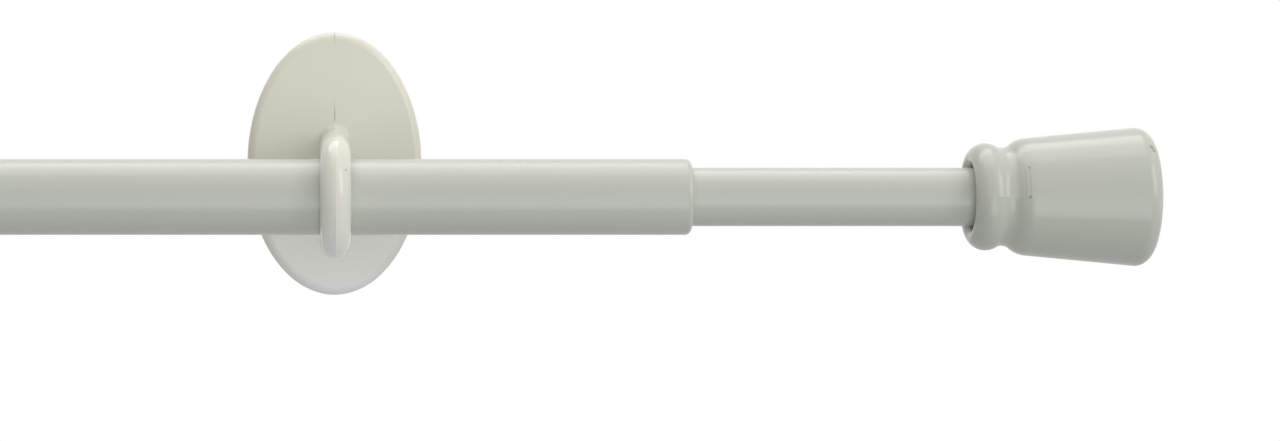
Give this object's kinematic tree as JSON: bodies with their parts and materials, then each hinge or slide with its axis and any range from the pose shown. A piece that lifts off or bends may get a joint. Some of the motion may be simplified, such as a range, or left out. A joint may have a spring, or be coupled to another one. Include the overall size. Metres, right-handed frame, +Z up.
{
  "type": "extendable cafe curtain rod",
  "caption": "Slim telescopic curtain rod with flared end finials, carried by one-piece hooks on oval self-adhesive plates for a window frame or wall.",
  "frame": {"origin": "centre of the right bracket's adhesive wall face", "axes": "+X along the rod towards the extending end, +Y into the wall, +Z up"},
  "size_m": [0.4002, 0.0353, 0.0466],
  "materials": {
    "tube_lacquer": "smooth off-white gloss lacquer on thin steel tube",
    "moulded_plastic": "glossy warm off-white moulding with parting lines",
    "bush_plastic": "plain natural moulding",
    "foam_tape": "closed-cell foam with adhesive faces"
  },
  "bodies": {
    "right_bracket": {"right_bracket": "moulded_plastic", "right_adhesive_pad": "foam_tape"},
    "outer_tube": {"outer_tube": "tube_lacquer"},
    "left_bracket": {"left_bracket": "moulded_plastic", "left_adhesive_pad": "foam_tape"},
    "inner_tube": {"inner_tube": "tube_lacquer", "guide_bush": "bush_plastic"},
    "right_finial": {"right_finial": "moulded_plastic"},
    "left_finial": {"left_finial": "moulded_plastic"}
  },
  "joints": [
    {"name": "rod_shift", "type": "slide", "parent": "right_bracket", "child": "outer_tube", "axis": [1, 0, 0], "range_m": [-0.045, 0.045]},
    {"name": "extend", "type": "slide", "parent": "outer_tube", "child": "inner_tube", "axis": [1, 0, 0], "range_m": [-0.047, 0.152]},
    {"name": "left_bracket_shift", "type": "slide", "parent": "outer_tube", "child": "left_bracket", "axis": [1, 0, 0], "range_m": [-0.04, 0.08]},
    {"name": "right_finial_pull", "type": "slide", "parent": "inner_tube", "child": "right_finial", "axis": [1, 0, 0], "range_m": [0, 0.03]},
    {"name": "left_finial_pull", "type": "slide", "parent": "outer_tube", "child": "left_finial", "axis": [-1, 0, 0], "range_m": [0, 0.03]}
  ]
}
